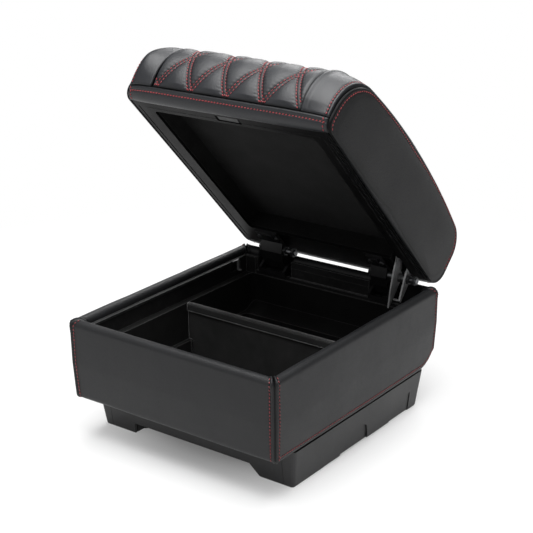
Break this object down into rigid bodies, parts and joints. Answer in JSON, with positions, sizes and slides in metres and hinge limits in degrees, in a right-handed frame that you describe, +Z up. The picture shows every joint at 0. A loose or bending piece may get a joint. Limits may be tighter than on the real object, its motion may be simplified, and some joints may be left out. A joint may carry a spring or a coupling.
{
  "type": "car centre armrest",
  "caption": "Leather-covered car centre armrest box with a divided bin and a quilted padded lid that opens on two gooseneck hinges.",
  "frame": {"origin": "centre of the four floor bolt holes, on the floor", "axes": "+X to the right seen from the front seats' side, +Y to the rear where the hinges are, +Z up"},
  "size_m": [0.26, 0.3506, 0.3821],
  "materials": {
    "grey_leather": "semi-gloss grain",
    "black_plastic": "fine grain",
    "structural_plastic": "moulded",
    "flocked_liner": "short flock",
    "lid_foam": "open foam",
    "black_metal": "satin black",
    "plain_steel": "zinc plated"
  },
  "bodies": {
    "console": {"base_frame": "structural_plastic", "skirt_left": "black_plastic", "skirt_right": "black_plastic", "valance_front": "black_plastic", "valance_rear": "black_plastic", "carrier_box": "structural_plastic", "cover_front": "grey_leather", "cover_rear": "grey_leather", "cover_left": "grey_leather", "cover_right": "grey_leather", "rim_frame": "black_plastic", "rear_trim": "black_plastic", "bin_liner": "flocked_liner", "divider": "flocked_liner", "rail_clip": "plain_steel", "keeper_plate": "plain_steel", "bracket_left": "black_metal", "bracket_right": "black_metal", "hinge_pins": "plain_steel", "bracket_screws": "plain_steel", "base_screws": "plain_steel"},
    "lid": {"lid_pan": "black_plastic", "lid_lining": "flocked_liner", "lid_core": "structural_plastic", "lid_foam": "lid_foam", "quilted_panel": "grey_leather", "top_strip_left": "grey_leather", "top_strip_right": "grey_leather", "side_panel_left": "grey_leather", "side_panel_right": "grey_leather", "front_band": "grey_leather", "rear_band": "grey_leather", "catch_plate": "plain_steel", "arm_left": "black_metal", "arm_right": "black_metal", "arm_screws": "plain_steel", "cross_bolts": "plain_steel", "stay_blade": "plain_steel", "stay_plate": "plain_steel", "stay_spring": "plain_steel"}
  },
  "joints": [
    {"name": "lid_hinge", "type": "hinge", "parent": "console", "child": "lid", "pos_m": [0, 0.138, 0.113], "axis": [1, 0, 0], "range_deg": [-15, 47]}
  ]
}
